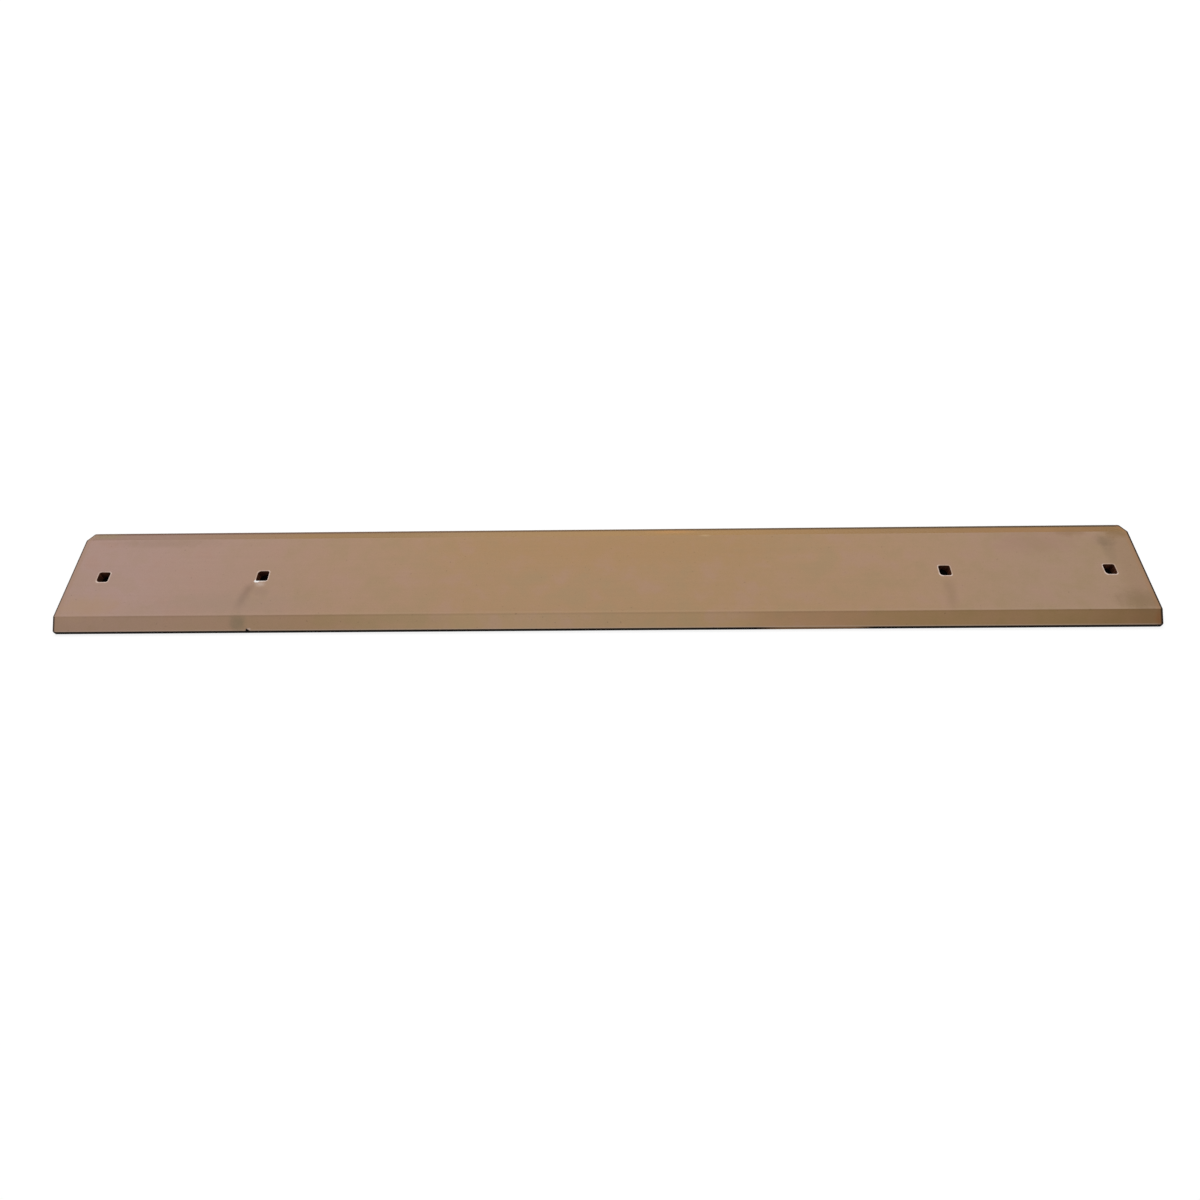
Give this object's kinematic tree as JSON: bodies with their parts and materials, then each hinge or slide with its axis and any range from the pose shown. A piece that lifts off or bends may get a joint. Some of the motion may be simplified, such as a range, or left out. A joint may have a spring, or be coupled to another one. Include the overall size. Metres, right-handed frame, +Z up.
{
  "type": "loader bucket cutting edge",
  "caption": "Flat bolt-on steel cutting edge for a loader bucket, bevelled along both long sides, with square bolt holes countersunk on the underside.",
  "frame": {"origin": "middle of the underside, on the surface that the bar lies on", "axes": "+X along the bar, +Y across it to the back edge, +Z up from the underside to the bevelled top face"},
  "size_m": [1.829, 0.2032, 0.019],
  "materials": {
    "edge_steel": "dull tan-brown film over flat steel bar, satin, pinkish toward one end"
  },
  "bodies": {
    "root": {"cutting_edge": "edge_steel"}
  },
  "joints": []
}
